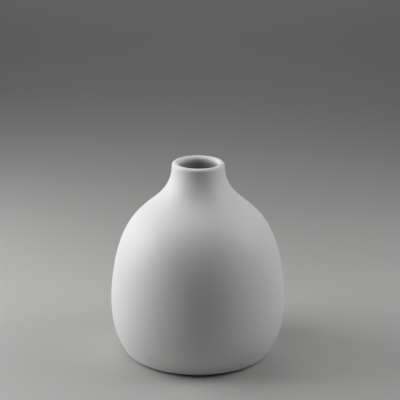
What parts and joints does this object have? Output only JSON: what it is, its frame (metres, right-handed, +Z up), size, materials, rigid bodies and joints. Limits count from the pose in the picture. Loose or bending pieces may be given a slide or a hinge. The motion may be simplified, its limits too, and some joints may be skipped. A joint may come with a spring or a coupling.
{
  "type": "bud vase",
  "caption": "Small round-bellied ceramic bud vase: slip-cast body with a foot ring, satin white glaze outside, gloss liner glaze inside, and a straight throat for stems.",
  "frame": {"origin": "centre of the foot ring, on the surface that the vase stands on", "axes": "+Z up through the centre of the mouth, along the axis that the vase is turned about; +X and +Y are any two square directions, with +X to the right as the vase is seen from the front (-Y)"},
  "size_m": [0.114, 0.114, 0.129],
  "materials": {
    "clay_body": "bare fired white stoneware, wiped smooth and slightly rough",
    "outer_glaze": "satin matt white glaze",
    "liner_glaze": "gloss grey liner glaze",
    "base_glaze": "satin matt white glaze"
  },
  "bodies": {
    "root": {"clay_body": "clay_body", "outer_glaze": "outer_glaze", "liner_glaze": "liner_glaze", "base_glaze": "base_glaze"}
  },
  "joints": []
}
